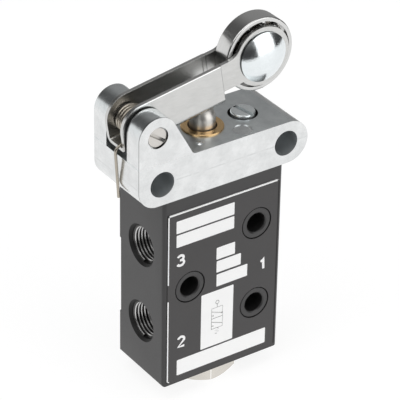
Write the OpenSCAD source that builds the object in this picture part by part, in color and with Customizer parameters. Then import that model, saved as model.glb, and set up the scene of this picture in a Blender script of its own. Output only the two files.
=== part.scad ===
// Roller lever operated air valve, three ports and two positions.
// X runs across the label face, Y points at the mounting face and Z runs up the spool.
// The origin lies on the mounting face, midway between the two fixing holes of the head.

/* [Body] */
// Width across the two port faces
body_w = 34.3; // [33:0.1:42]
// Depth from the label face to the mounting face
body_d = 19.4; // [18.8:0.2:24]
// Height from the end plug to the head
body_h = 52.5; // [51:0.5:70]
// Radius of the upright edges beside the label face
body_edge_r = 1; // [0.4:0.1:2]
// Radius of the upright edges beside the mounting face
body_back_r = 0.4; // [0.2:0.1:1]
// Radius of the corners seen from the front
body_corner_r = 0.7; // [0.3:0.1:1.5]
// Height of the relief across the mounting face
relief_h = 21.6; // [10:0.2:24]
// Depth of the relief across the mounting face
relief_depth = 0.75; // [0.2:0.05:1]
// Drop from the top of the body to the relief
relief_drop = 18.9; // [14:0.1:22]

/* [Ports] */
// Major diameter of the port thread
port_d = 9.73; // [8:0.01:10]
// Depth of the threaded part of a port
port_depth = 8; // [6:0.5:9]
// Width of the chamfer at the mouth of a port
port_lead = 0.65; // [0.2:0.05:1]
// Diameter of the feed from a port to the spool bore
port_feed_d = 4.5; // [2:0.1:6]
// Drop from the top of the body to the upper port
port_drop = 16.4; // [15:0.2:20]
// Step from one port level to the next
port_pitch = 10.9; // [10:0.1:11.5]

/* [Fixing holes] */
// Diameter of the fixing holes in the body
fix_d = 5.2; // [4:0.1:5.6]
// Distance of the fixing holes from the spool axis
fix_x = 9.6; // [9:0.1:11]
// Drop from the top of the body to the middle fixing hole
fix_drop = 25.5; // [24:0.25:27]
// Distance between the two fixing holes at the right
fix_span = 23; // [20:0.5:26]
// Diameter of the sunk ring round a fixing hole
fix_ring_d = 8.6; // [6:0.1:10]
// Depth of the sunk ring round a fixing hole
fix_ring_depth = 0.4; // [0.1:0.1:1]

/* [Label] */
// Width of the label plate
label_w = 32.2; // [28:0.1:33]
// Height of the label plate
label_h = 48.4; // [44:0.2:50]
// Thickness of the label plate
label_t = 0.25; // [0.1:0.05:0.6]
// Gap from the label plate to the top of the body
label_drop = 3.6; // [1:0.1:5]
// Corner radius of the label plate
label_r = 0.8; // [0.2:0.1:2]

/* [Spool and seals] */
// Diameter of the spool
spool_d = 6; // [5:0.1:6.4]
// Diameter of the drilled core of the spool
core_d = 3; // [2:0.1:3.4]
// Diameter of the cross holes into the core
cross_d = 1.4; // [0.8:0.1:1.6]
// Section of the spool seals
seal_t = 2; // [1.4:0.1:2.2]
// Wall of the spacer cages between the seals
spacer_wall = 1.4; // [0.8:0.1:1.5]
// Diameter of the holes in the spacer cages
spacer_hole_d = 4; // [2:0.1:5]
// Radial clearance of the sliding fits
slide_gap = 0.04; // [0.02:0.01:0.08]
// Length of the spool below the lowest seal
spool_tail = 1.8; // [1:0.1:3]
// Depth of the drilled core below the lowest port level
core_end = 2; // [1:0.1:4]

/* [End plug] */
// Width across the flats of the plug
plug_af = 16; // [15.5:0.5:18]
// Height of the plug's hexagon
plug_hex_h = 4.6; // [3:0.1:6]
// Diameter of the plug's threaded shank
plug_d = 13; // [12.2:0.1:14]
// Section of the plug seal
plug_seal_t = 1; // [0.6:0.1:1.4]
// Floor left under the spring pocket
plug_floor = 1.6; // [1:0.1:2]
// Chamfer on the corners of the hexagon
plug_chamfer = 0.4; // [0.1:0.1:1]
// Turn of the hexagon when the plug is tight, in degrees
plug_turn = -104; // [-120:1:-60]

/* [Return spring] */
// Wire of the return spring
return_wire = 0.7; // [0.4:0.05:0.9]
// Turns of the return spring
return_turns = 5; // [3:0.5:6]
// Inset of the spring from the edge of the spool's end
return_inset = 0.15; // [0.05:0.05:0.4]
// Gap from the spool's diameter to the wall of the spring pocket
pocket_gap = 0.4; // [0.1:0.05:0.8]

/* [Head] */
// Overall width of the head
head_w = 48.2; // [46.4:0.1:56]
// Height of the head between the ears and the body
head_h = 11.2; // [10.4:0.2:14]
// Diameter of the head's two fixing holes
head_hole_d = 6.6; // [5:0.1:7]
// Distance between the head's two fixing holes
head_hole_span = 35.4; // [34.8:0.1:38]
// Radius at the foot of the head's left end
head_foot_r = 5; // [2:0.1:5.5]
// Radius of the ears
ear_r = 5.15; // [4.4:0.05:6]
// Clearance between each ear and the lever
ear_gap = 0.6; // [0.2:0.1:1]
// Slope of the flank of an ear, in degrees
ear_slope = 61; // [50:1:75]
// Fillet at the foot of an ear
ear_fillet_r = 1.2; // [0.4:0.1:2]
// Height of the lever pivot over the head
pivot_h = 7.2; // [7:0.1:9]
// Diameter of the shallow round mark on the head
mark_d = 4.8; // [3:0.1:6]
// Depth of the shallow round mark
mark_depth = 0.2; // [0.05:0.01:0.3]
// Distance of the mark to the right of the spool axis
mark_x = 7; // [6:0.1:9]
// Distance of the mark from the front of the head
mark_inset = 3.1; // [2.6:0.1:4]
// Diameter of the small pip on the head
pip_d = 1.8; // [1:0.1:2.4]
// Height of the small pip
pip_h = 0.35; // [0.1:0.05:0.6]
// Distance of the pip to the left of the spool axis
pip_x = 5.1; // [4:0.1:6]
// Distance of the pip from the front of the head
pip_inset = 3.2; // [2:0.1:3.4]

/* [Head screws] */
// Distance of each head screw from the spool axis
screw_x = 11.7; // [11:0.1:13]
// Diameter of the screw shank
screw_d = 4; // [3:0.1:4.2]
// Diameter of the screw head
screw_head_d = 6.5; // [6:0.1:7]
// Height of the screw head
screw_head_h = 2.6; // [2:0.1:3.2]
// Height of the screw head that stands over the head block
screw_proud = 0.5; // [0.2:0.1:0.8]
// Rounding of the screw head's edge
screw_edge = 0.4; // [0.1:0.1:0.8]
// Turn of the screwdriver slot, in degrees
screw_turn = 102; // [0:1:180]
// Depth of the screw in the body
screw_grip = 8; // [5:0.5:9]
// Width of the screwdriver slot
screw_slot_w = 1.2; // [0.6:0.1:1.4]
// Depth of the screwdriver slot
screw_slot_depth = 0.7; // [0.5:0.1:1.4]
// Gap round a screw head in its counterbore
screw_gap = 0.45; // [0.2:0.05:0.6]

/* [Plunger and bush] */
// Diameter of the plunger
plunger_d = 6.4; // [5.6:0.1:6.8]
// Length of the plunger's spigot in the spool
spigot = 3; // [1:0.1:6]
// Diameter of the stop collar of the plunger
collar_d = 8.4; // [7.4:0.1:9]
// Height of the stop collar of the plunger
collar_h = 0.9; // [0.6:0.1:1.2]
// Outside diameter of the bush
bush_d = 9.2; // [8.8:0.1:9.6]
// Diameter of the bush flange
bush_flange_d = 10.5; // [10:0.1:12]
// Thickness of the bush flange
bush_flange_t = 0.4; // [0.3:0.05:0.9]
// Chamfer on the edge of the bush flange
bush_lip = 0.15; // [0.05:0.05:0.25]
// Chamfer at the mouth of the bush
bush_lead = 0.35; // [0.1:0.05:0.5]
// Wall between the stop chamber and the seat of the plunger seal
seat_wall = 1.2; // [0.8:0.1:1.6]
// Section of the seal between head and body
head_seal_t = 1; // [0.6:0.1:1.2]

/* [Lever] */
// Thickness of the lever's sheet
sheet_t = 1; // [0.8:0.05:1.2]
// Clear width inside the channel
channel_w = 5.6; // [5.4:0.05:6]
// Inward set of the arms from the channel's flanges
arm_set = 0.15; // [0.1:0.01:0.18]
// Height of the channel's flanges
flange_h = 10.75; // [10.4:0.05:12]
// Distance from the pivot to the underside of the channel
web_drop = 4.65; // [4.6:0.05:5]
// Outside radius of the channel's bends
bend_r = 1.6; // [1.3:0.1:2.4]
// Length of the channel past the pivot
channel_len = 22.6; // [21:0.1:23]
// Length of the channel behind the pivot
channel_tail = 5.9; // [5:0.1:6.2]
// Upward tilt of the lever at rest, in degrees
lever_tilt = 9.6; // [8:0.1:11]
// Swing of the lever when it is pressed, in degrees
lever_swing = 9.5; // [6:0.1:9.5]
// Gap from the pivot level down to the underside of the neck
neck_low = 1.2; // [0.4:0.1:2]
// Radius of the round ends of the arms
arm_r = 7.6; // [7:0.1:8]
// Fillet between neck and round end
neck_fillet_r = 4; // [2:0.1:5]
// Distance of the roller from the pivot along the lever
roller_reach = 34.4; // [33:0.1:36]
// Height of the roller over the pivot, square to the lever
roller_rise = 3.2; // [2:0.1:4]
// Gap between the lever and the plunger at rest
touch_gap = 0.05; // [0.03:0.01:0.1]

/* [Pivot] */
// Diameter of the pivot pin
pin_d = 5; // [4.4:0.1:5]
// Depth of the pin's end below the face of the ear
pin_sunk = 0.4; // [0.1:0.1:0.8]
// Width of the slot in the pin
pin_slot_w = 0.8; // [0.4:0.1:1]
// Depth of the slot in the pin
pin_slot_depth = 1; // [0.5:0.1:1.5]
// Turn of the slot in the pin, in degrees
pin_turn = 22; // [-90:1:90]
// Gap round the slotted end of the pin
pin_ring = 0.25; // [0.1:0.05:0.4]

/* [Torsion spring] */
// Wire of the torsion spring
torsion_wire = 0.75; // [0.5:0.05:0.8]
// Turns of the torsion spring
torsion_turns = 5; // [3:1:5]
// Gap between the coil and the channel's web
torsion_gap = 0.12; // [0.1:0.01:0.15]
// Height of the coil's middle over the pivot
coil_rise = 0.2; // [0.1:0.01:0.22]
// Distance of the coil's middle behind the pivot
coil_back = 0.3; // [0:0.01:0.3]
// Length of the leg that lies in the channel
torsion_leg = 10; // [6:0.5:14]
// Length of the leg down the end of the head, under the slot floor
torsion_hang = 11.4; // [8:0.2:12]
// Gap between the end of the head and the hanging leg at its bend
hang_out = 0.9; // [0.8:0.1:1.2]
// Height over the slot floor at which the hanging leg bends
hang_lift = 0.9; // [0.6:0.1:1.4]
// Distance of the bend in front of the lever's middle
hang_side = 1.6; // [1:0.1:2]
// Sideways lean of the hanging leg, back towards the lever's middle
hang_lean = 0.8; // [0:0.1:1]
// Length of the bend along the channel
hang_bend = 1.8; // [1:0.1:1.8]

/* [Roller] */
// Outside diameter of the bearing
bearing_d = 19; // [18:0.1:20]
// Bore of the bearing
bearing_bore = 10; // [8:0.1:10.4]
// Width of the bearing
bearing_w = 5; // [4:0.1:5]
// Thickness of each bearing ring
ring_t = 1.05; // [0.8:0.05:1.3]
// Diameter of the balls
ball_d = 2.38; // [2:0.01:2.6]
// Number of balls
balls = 11; // [8:1:13]
// Gap between the balls and the races
ball_gap = 0.08; // [0.05:0.01:0.12]
// Rounding of the bearing's edges
ring_edge_r = 0.4; // [0.1:0.05:0.6]
// Radial thickness of the ball cage
cage_t = 1.1; // [0.6:0.1:1.4]
// Width of the ball cage
cage_w = 1.7; // [1:0.1:1.8]
// Distance of the ball cage from the middle of the bearing
cage_offset = 0.2; // [0.1:0.1:0.6]

/* [Roller axle] */
// Diameter of the axle where it passes the arms
axle_end_d = 6; // [4:0.1:7]
// Diameter of the domed head
dome_d = 12.7; // [9:0.1:13.4]
// Height of the dome over its rim
dome_h = 2.3; // [1:0.1:3]
// Height of the straight rim under the dome
dome_rim = 0.5; // [0.3:0.1:1.2]
// Diameter of the cap on the far side
cap_d = 11; // [9:0.1:13]
// Height of the cap on the far side
cap_h = 1.6; // [1:0.1:2.5]

/* [Hidden] */
$fn = 96;

// Overlap of a cutting tool past the face that it cuts
cut = 1;
// How far the neck's fillet runs into the round end, so that the two arcs cross
fillet_bite = 0.004;
// Facets round a spring's wire, and along one turn of its coil or one bend
wire_sides = 8;
coil_steps = 24;
bend_steps = 6;

// Levels up the spool axis, from the fixing holes of the head
mid_y = -body_d / 2;
head_top = head_h / 2;
body_top = -head_h / 2;
body_bottom = body_top - body_h;
port_z = [for (i = [0:2]) body_top - port_drop - i * port_pitch];
port_side = [-1, 1, -1];
seal_z = [for (i = [0:3]) port_z[0] + (0.5 - i) * port_pitch];
stack_top = seal_z[0] + seal_t / 2;
stack_bottom = seal_z[3] - seal_t / 2;
bore_r = spool_d / 2 + seal_t;
fix_z = body_top - fix_drop;
fix_places = [[-fix_x, fix_z], [fix_x, fix_z + fix_span / 2], [fix_x, fix_z - fix_span / 2]];

// Head and pivot
head_left = -head_w / 2;
head_right = head_w / 2;
pivot_x = head_left + ear_r;
pivot_z = head_top + pivot_h;
slot_w = channel_w + 2 * (sheet_t + ear_gap);
ear_t = (body_d - slot_w) / 2;

// Motion of the plunger: its round tip stays under the flat web as the lever swings
tip_r = plunger_d / 2;
function tip_z(tilt) = pivot_z - pivot_x * tan(tilt) - (web_drop + touch_gap + tip_r) / cos(tilt) + tip_r;
plunger_tip = tip_z(lever_tilt);
travel = plunger_tip - tip_z(lever_tilt - lever_swing);

// Stop chamber in the underside of the head
stop_gap = 0.05;
chamber_top = body_top + collar_h + travel + 2 * stop_gap;
collar_top = chamber_top - stop_gap;
collar_bottom = collar_top - collar_h;
seal_seat = chamber_top + seat_wall;
plunger_seal_t = (bush_d - plunger_d) / 2 - slide_gap;
bush_foot = seal_seat + plunger_seal_t + slide_gap;

// Spool, spring and plug
spool_top = collar_bottom;
spool_bottom = stack_bottom - spool_tail;
cross_up = travel / 2;
plug_bottom = body_bottom - plug_hex_h;
pocket_bottom = plug_bottom + plug_floor;
pocket_r = spool_d / 2 + pocket_gap;
return_r = spool_d / 2 - return_wire / 2 - return_inset;

// Roller
arm_gap = channel_w - 2 * arm_set;
washer_t = (arm_gap - bearing_w) / 2;
axle_r = bearing_bore / 2;
race_r = (bearing_d / 2 + axle_r) / 2;

// Torsion spring, in the lever's own directions: level of its legs and radius of its coil
leg_z = sheet_t + torsion_gap + torsion_wire / 2 - web_drop;
coil_r = coil_rise - leg_z;
// Places of the hanging leg beside the head: at its bend, and where the foot of the head curves away from it
leg_bend_x = head_left - torsion_wire / 2 - hang_out;
leg_face_x = head_left - torsion_wire / 2 - torsion_gap;

// A rectangle centred on the origin, its lower corners of radius r and its upper ones of radius upper
module rounded_rect(w, h, r, upper) {
    top = is_undef(upper) ? r : upper;
    translate([-w / 2, r - h / 2]) square([w, h - r - top]);
    translate([r - w / 2, -h / 2]) square([w - 2 * r, h - top]);
    translate([top - w / 2, r - h / 2]) square([w - 2 * top, h - r]);
    for (x = [-1, 1]) {
        translate([x * (w / 2 - r), r - h / 2]) circle(r);
        translate([x * (w / 2 - top), h / 2 - top]) circle(top);
    }
}

// A flat outline drawn in X and Z, made solid from y = front to y = back
module upright(front, back) {
    translate([0, back, 0]) rotate([90, 0, 0]) linear_extrude(back - front) children();
}

// A round hole or bar along Y
module along_y(r, front, back) {
    upright(front, back) circle(r);
}

// A round hole or bar along Z, on the spool axis
module on_axis(r, low, high) {
    translate([0, mid_y, low]) cylinder(r = r, h = high - low);
}

// A rubber ring on the spool axis: inner radius, section and level of its middle
module seal_ring(inner_r, section, z) {
    translate([0, mid_y, z]) rotate_extrude() translate([inner_r + section / 2, 0]) circle(section / 2);
}

// A round wire swept along a path; side is a direction that the path never follows
function unit(v) = v / norm(v);
function path_way(p, i) = unit(p[min(i + 1, len(p) - 1)] - p[max(i - 1, 0)]);
function wire_ring(p, i, r, side) =
    let (way = path_way(p, i), a = unit(cross(side, way)), b = cross(way, a), turn = 360 / wire_sides)
    [for (k = [0:wire_sides - 1]) p[i] + r * (cos(turn * k) * a + sin(turn * k) * b)];

module wire(path, d, side) {
    n = wire_sides;
    last = (len(path) - 1) * n;
    rings = [for (i = [0:len(path) - 1]) each wire_ring(path, i, d / 2, side)];
    walls = [
        for (i = [0:len(path) - 2], k = [0:n - 1])
            let (m = (k + 1) % n) [i * n + k, (i + 1) * n + k, (i + 1) * n + m, i * n + m]
    ];
    first_cap = [[for (k = [0:n - 1]) k]];
    last_cap = [[for (k = [n - 1:-1:0]) last + k]];
    polyhedron(rings, concat(first_cap, walls, last_cap));
}

// One threaded port with its chamfer and feed; side is -1 for the left face and 1 for the right
module port(side, z) {
    lead_r = port_d / 2 + port_lead;
    translate([side * body_w / 2, mid_y, z]) rotate([0, -90 * side, 0]) {
        translate([0, 0, -cut]) cylinder(d = port_d, h = port_depth + cut);
        cylinder(r1 = lead_r, r2 = port_d / 2, h = port_lead);
        cylinder(d = port_feed_d, h = body_w / 2);
    }
}

module valve_body() {
    color([0.16, 0.16, 0.165]) difference() {
        intersection() {
            translate([0, mid_y, body_bottom]) linear_extrude(body_h)
                rounded_rect(body_w, body_d, body_edge_r, body_back_r);
            upright(-body_d, 0) translate([0, body_top - body_h / 2])
                rounded_rect(body_w, body_h, body_corner_r);
        }
        // Relief across the mounting face
        translate([-body_w / 2 - cut, -relief_depth, body_top - relief_drop - relief_h])
            cube([body_w + 2 * cut, relief_depth + cut, relief_h]);
        for (i = [0:2]) port(port_side[i], port_z[i]);
        for (p = fix_places) translate([p[0], 0, p[1]]) {
            along_y(fix_d / 2, -body_d - cut, cut);
            along_y(fix_ring_d / 2, -body_d - cut, -body_d + fix_ring_depth);
        }
        // Guide for the spool, bore for the seals and thread for the plug
        on_axis(spool_d / 2 + slide_gap, stack_top - cut, body_top + cut);
        on_axis(bore_r, stack_bottom - cut, stack_top);
        on_axis(plug_d / 2, body_bottom - cut, stack_bottom);
        translate([0, mid_y, body_bottom]) rotate_extrude()
            translate([plug_d / 2, -cut]) square([plug_seal_t, plug_seal_t + cut]);
        // Groove for the head seal
        translate([0, mid_y, body_top - head_seal_t]) rotate_extrude()
            translate([collar_d / 2, 0]) square([head_seal_t, head_seal_t + cut]);
        for (x = [-screw_x, screw_x]) translate([x, mid_y, body_top - screw_grip])
            cylinder(d = screw_d, h = screw_grip + cut);
    }
}

module label_plate() {
    middle = body_top - label_drop - label_h / 2;
    color([0.33, 0.32, 0.32]) difference() {
        upright(-body_d - label_t, -body_d) translate([0, middle]) rounded_rect(label_w, label_h, label_r);
        for (p = fix_places) translate([p[0], 0, p[1]])
            along_y(fix_ring_d / 2, -body_d - label_t - cut, -body_d + cut);
    }
}

// Front view of the head's base: rounded foot at the left, full round at the right
module head_base() {
    end_x = head_right - head_h / 2;
    foot_x = head_left + head_foot_r;
    translate([foot_x, body_top]) square([end_x - foot_x, head_h]);
    translate([end_x, 0]) circle(head_h / 2);
    translate([foot_x, body_top + head_foot_r]) circle(head_foot_r);
    translate([head_left, body_top + head_foot_r]) square([head_foot_r, head_h - head_foot_r]);
}

// Front view of an ear: round about the pivot, with a sloping flank that runs out in a fillet
module ear_outline() {
    down = [cos(ear_slope), -sin(ear_slope)];
    touch = [pivot_x + ear_r * sin(ear_slope), pivot_z + ear_r * cos(ear_slope)];
    foot = touch + down * (touch[1] - head_top) / sin(ear_slope);
    run = ear_fillet_r * tan(ear_slope / 2);
    middle = [foot[0] + run, head_top + ear_fillet_r];
    translate([pivot_x, pivot_z]) circle(ear_r);
    translate([head_left, 0]) square([ear_r, pivot_z]);
    polygon([[pivot_x, 0], [pivot_x, pivot_z], touch, foot, [foot[0], 0]]);
    difference() {
        polygon([foot - [0, cut], foot - down * run, middle, middle - [0, ear_fillet_r + cut]]);
        translate(middle) circle(ear_fillet_r);
    }
}

module head_block() {
    color([0.82, 0.83, 0.84]) difference() {
        union() {
            upright(-body_d, 0) head_base();
            upright(-body_d, -body_d + ear_t) ear_outline();
            upright(-ear_t, 0) ear_outline();
            translate([-pip_x, -body_d + pip_inset, head_top - cut])
                rotate_extrude() dome_outline(pip_d, cut, pip_h);
        }
        for (x = [-1, 1]) translate([x * head_hole_span / 2, 0, 0])
            along_y(head_hole_d / 2, -body_d - cut, cut);
        // Pivot hole through both ears, opened round the slotted end of the pin
        translate([pivot_x, 0, pivot_z]) {
            along_y(pin_d / 2 + slide_gap, -body_d - cut, cut);
            along_y(pin_d / 2 + pin_ring, -body_d - cut, -body_d + pin_sunk + pin_slot_depth);
        }
        // Bush and seal bore, plunger guide and stop chamber
        on_axis(bush_d / 2, seal_seat, head_top + cut);
        on_axis(plunger_d / 2 + slide_gap, chamber_top - cut, seal_seat + cut);
        on_axis(collar_d / 2 + slide_gap, body_top - cut, chamber_top);
        // Screw holes and counterbores
        for (x = [-screw_x, screw_x]) translate([x, mid_y, 0]) {
            translate([0, 0, body_top - cut]) cylinder(d = screw_d + 2 * slide_gap, h = head_h + 2 * cut);
            translate([0, 0, head_top + screw_proud - screw_head_h])
                cylinder(d = screw_head_d + 2 * screw_gap, h = screw_head_h);
        }
        translate([mark_x, -body_d + mark_inset, head_top - mark_depth])
            cylinder(d = mark_d, h = mark_depth + cut);
    }
}

module head_seal() {
    color([0.05, 0.05, 0.05])
        seal_ring(collar_d / 2, head_seal_t, body_top - head_seal_t / 2);
}

module head_screws() {
    seat = head_top + screw_proud - screw_head_h;
    edge_r = screw_head_d / 2 - screw_edge;
    color([0.75, 0.77, 0.79]) for (x = [-screw_x, screw_x]) translate([x, mid_y, seat]) difference() {
        rotate_extrude() {
            translate([0, body_top - screw_grip - seat]) square([screw_d / 2, seat - body_top + screw_grip]);
            square([screw_head_d / 2, screw_head_h - screw_edge]);
            square([edge_r, screw_head_h]);
            translate([edge_r, screw_head_h - screw_edge]) circle(screw_edge);
        }
        rotate([0, 0, screw_turn])
            translate([-screw_head_d, -screw_slot_w / 2, screw_head_h - screw_slot_depth])
            cube([2 * screw_head_d, screw_slot_w, screw_head_h]);
    }
}

module plunger_bush() {
    inner = plunger_d / 2 + slide_gap;
    outer = bush_flange_d / 2;
    top = head_top + bush_flange_t;
    color([0.78, 0.6, 0.28]) translate([0, mid_y, 0]) rotate_extrude() polygon([
        [inner, bush_foot], [bush_d / 2, bush_foot], [bush_d / 2, head_top], [outer, head_top],
        [outer, top - bush_lip], [outer - bush_lip, top], [inner + bush_lead, top], [inner, top - bush_lead]
    ]);
}

module plunger_seal() {
    color([0.05, 0.05, 0.05])
        seal_ring(plunger_d / 2 + slide_gap, plunger_seal_t, seal_seat + plunger_seal_t / 2);
}

module plunger() {
    color([0.6, 0.6, 0.6]) union() {
        on_axis(plunger_d / 2, collar_bottom, plunger_tip - tip_r);
        translate([0, mid_y, plunger_tip - tip_r]) sphere(tip_r);
        on_axis(collar_d / 2, collar_bottom, collar_top);
        on_axis(core_d / 2 - slide_gap, spool_top - spigot, collar_top);
    }
}

module spool() {
    color([0.7, 0.7, 0.72]) difference() {
        on_axis(spool_d / 2, spool_bottom, spool_top);
        on_axis(core_d / 2, port_z[2] - core_end, spool_top + cut);
        // Cross holes that change sides of the second seal, and a lower pair always open to the outlet
        for (z = [seal_z[1] + cross_up, port_z[2] + cross_up], turn = [0, 90])
            translate([0, mid_y, z]) rotate([0, 90, turn])
                cylinder(d = cross_d, h = 2 * spool_d, center = true);
    }
}

module spool_seal(i) {
    color([0.05, 0.05, 0.05]) seal_ring(spool_d / 2 + slide_gap, seal_t - 2 * slide_gap, seal_z[i]);
}

module spacer(i) {
    outer = bore_r - slide_gap;
    color([0.72, 0.58, 0.3]) difference() {
        on_axis(outer, seal_z[i + 1] + seal_t / 2, seal_z[i] - seal_t / 2);
        on_axis(outer - spacer_wall, seal_z[i + 1], seal_z[i]);
        for (turn = [0, 90])
            translate([0, mid_y, port_z[i]]) rotate([0, 90, turn])
                cylinder(d = spacer_hole_d, h = 4 * outer, center = true);
    }
}

module return_spring() {
    rise = (spool_bottom - pocket_bottom - return_wire - 2 * stop_gap) / return_turns;
    low = pocket_bottom + return_wire / 2 + stop_gap;
    color([0.7, 0.7, 0.72]) wire(
        [for (i = [0:return_turns * coil_steps])
            let (turn = i / coil_steps)
            [return_r * cos(360 * turn), mid_y + return_r * sin(360 * turn), low + rise * turn]],
        return_wire, [0, 0, 1]);
}

module end_plug() {
    edge_r = plug_af / 2 - plug_chamfer;
    color([0.8, 0.79, 0.77]) translate([0, mid_y, 0]) difference() {
        union() {
            translate([0, 0, body_bottom]) cylinder(d = plug_d, h = stack_bottom - body_bottom);
            translate([0, 0, plug_bottom]) intersection() {
                rotate([0, 0, plug_turn]) cylinder(r = plug_af / 2 / cos(30), h = plug_hex_h, $fn = 6);
                cylinder(r1 = edge_r, r2 = edge_r + plug_hex_h * tan(60), h = plug_hex_h);
            }
        }
        translate([0, 0, pocket_bottom]) cylinder(r = pocket_r, h = body_h);
    }
}

module plug_seal() {
    color([0.05, 0.05, 0.05])
        seal_ring(plug_d / 2, plug_seal_t, body_bottom + plug_seal_t / 2);
}

module pivot_pin() {
    front = -body_d + pin_sunk;
    color([0.78, 0.76, 0.73]) difference() {
        translate([pivot_x, 0, pivot_z]) along_y(pin_d / 2, front, -pin_sunk);
        translate([pivot_x, front, pivot_z]) rotate([0, pin_turn, 0])
            cube([2 * pin_d, 2 * pin_slot_depth, pin_slot_w], center = true);
    }
}

// Places the lever's own drawing: its pivot at the origin, X along the lever
module on_lever() {
    translate([pivot_x, mid_y, pivot_z]) rotate([0, -lever_tilt, 0]) children();
}

// A place beside the head, in the lever's directions
function lever_view(x, y, z) =
    let (along = x - pivot_x, up = z - pivot_z)
    [along * cos(lever_tilt) + up * sin(lever_tilt), y, up * cos(lever_tilt) - along * sin(lever_tilt)];

// Leg down the end of the head, bend over the end of the web, coil round the pin, leg along the web
module torsion_spring() {
    side = channel_w / 2 - torsion_wire / 2 - torsion_gap;
    last = torsion_turns * coil_steps;
    lean = (leg_face_x - leg_bend_x) / (hang_lift + head_h - head_foot_r);
    low_x = leg_bend_x + lean * (hang_lift + torsion_hang);
    hang_low = lever_view(low_x, hang_lean - hang_side, head_top - torsion_hang);
    hang_top = lever_view(leg_bend_x, -hang_side, head_top + hang_lift);
    way = hang_top - hang_low;
    corner = hang_top + way * (leg_z - hang_top[2]) / way[2];
    inside = corner + [hang_bend, 0, 0];
    bend = [for (i = [0:bend_steps])
        let (t = i / bend_steps) (1 - t) * (1 - t) * hang_top + 2 * t * (1 - t) * corner + t * t * inside];
    coil = [for (i = [0:last])
        let (turn = 360 * i / coil_steps)
        [coil_r * sin(turn) - coil_back, side * (2 * i / last - 1), coil_rise - coil_r * cos(turn)]];
    color([0.63, 0.58, 0.53]) on_lever()
        wire(concat([hang_low], bend, coil, [[torsion_leg, side, leg_z]]), torsion_wire, [0, 1, 0]);
}

// Side view of the channel: round over the pivot at the tail, square at the foot
module channel_side() {
    top = flange_h - web_drop;
    translate([0, top - channel_tail]) circle(channel_tail);
    translate([-channel_tail, -web_drop]) square([channel_tail, web_drop + top - channel_tail]);
    translate([0, -web_drop]) square([channel_len, flange_h]);
}

// Side view of an arm: neck, round end and the fillet between them
module arm_side() {
    top = flange_h - web_drop;
    reach = arm_r + neck_fillet_r - fillet_bite;
    fillet_z = top + neck_fillet_r;
    fillet_x = roller_reach - sqrt(reach * reach - pow(fillet_z - roller_rise, 2));
    translate([roller_reach, roller_rise]) circle(arm_r);
    translate([channel_len - cut, -neck_low]) square([roller_reach - channel_len + cut, neck_low + top]);
    difference() {
        polygon([[fillet_x, top - cut], [fillet_x, fillet_z], [roller_reach, roller_rise]]);
        translate([fillet_x, fillet_z]) circle(neck_fillet_r);
    }
}

// End view of the channel: a U of sheet with round bends
module channel_end() {
    outer = channel_w + 2 * sheet_t;
    tall = 2 * flange_h;
    difference() {
        translate([0, tall / 2 - web_drop]) rounded_rect(outer, tall, bend_r);
        translate([0, tall / 2 - web_drop + sheet_t]) rounded_rect(channel_w, tall, bend_r - sheet_t);
    }
}

module lever() {
    outer = channel_w / 2 + sheet_t;
    color([0.8, 0.8, 0.79]) on_lever() difference() {
        union() {
            intersection() {
                upright(-outer, outer) channel_side();
                translate([-channel_tail, 0, 0]) rotate([90, 0, 90])
                    linear_extrude(channel_tail + channel_len) channel_end();
            }
            for (y = [-arm_gap / 2 - sheet_t, arm_gap / 2]) upright(y, y + sheet_t) arm_side();
        }
        along_y(pin_d / 2 + slide_gap, -outer - cut, outer + cut);
        translate([roller_reach, 0, roller_rise]) along_y(axle_end_d / 2, -outer - cut, outer + cut);
    }
}

// Places a piece of the roller: its axis along Y through the roller's middle
module on_roller() {
    on_lever() translate([roller_reach, 0, roller_rise]) children();
}

// A ring turned about the roller's axis from an outline of radius and Y
module turned() {
    rotate([90, 0, 0]) rotate_extrude() children();
}

// A low dome on a straight rim, drawn as radius and height
module dome_outline(d, rim, h) {
    ball_r = (d * d / 4 + h * h) / (2 * h);
    square([d / 2, rim]);
    intersection() {
        square([d / 2, rim + h]);
        translate([0, rim + h - ball_r]) circle(ball_r);
    }
}

module roller_axle() {
    face = arm_gap / 2 + sheet_t;
    color([0.88, 0.9, 0.91]) on_roller() turned() {
        translate([0, -bearing_w / 2]) square([axle_r - slide_gap, bearing_w]);
        translate([0, -face]) square([axle_end_d / 2, 2 * face]);
        translate([0, face]) dome_outline(dome_d, dome_rim, dome_h);
    }
}

module axle_cap() {
    face = arm_gap / 2 + sheet_t;
    rim = cap_h / 2;
    color([0.88, 0.9, 0.91]) on_roller() turned()
        mirror([0, 1]) translate([0, face]) dome_outline(cap_d, rim, cap_h - rim);
}

module washer(side) {
    near = side > 0 ? bearing_w / 2 : -arm_gap / 2;
    color([0.7, 0.7, 0.72]) on_roller() turned()
        translate([axle_end_d / 2, near]) square([axle_r + ring_t - axle_end_d / 2, washer_t]);
}

// Round groove for the balls
module race() {
    translate([race_r, 0]) circle(ball_d / 2 + ball_gap);
}

module bearing_inner_ring() {
    color([0.75, 0.75, 0.76]) on_roller() turned() difference() {
        translate([axle_r, -bearing_w / 2]) square([ring_t, bearing_w]);
        race();
    }
}

module bearing_outer_ring() {
    outer = bearing_d / 2;
    color([0.6, 0.6, 0.61]) on_roller() turned() difference() {
        union() {
            translate([outer - ring_t, -bearing_w / 2]) square([ring_t - ring_edge_r, bearing_w]);
            translate([outer - ring_t, ring_edge_r - bearing_w / 2])
                square([ring_t, bearing_w - 2 * ring_edge_r]);
            for (y = [-1, 1]) translate([outer - ring_edge_r, y * (bearing_w / 2 - ring_edge_r)])
                circle(ring_edge_r);
        }
        race();
    }
}

module bearing_cage() {
    color([0.55, 0.5, 0.42]) on_roller() difference() {
        turned() translate([race_r - cage_t / 2, -cage_offset - cage_w]) square([cage_t, cage_w]);
        for (i = [1:balls]) rotate([0, i * 360 / balls, 0]) translate([race_r, 0, 0])
            sphere(ball_d / 2 + ball_gap);
    }
}

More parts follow.
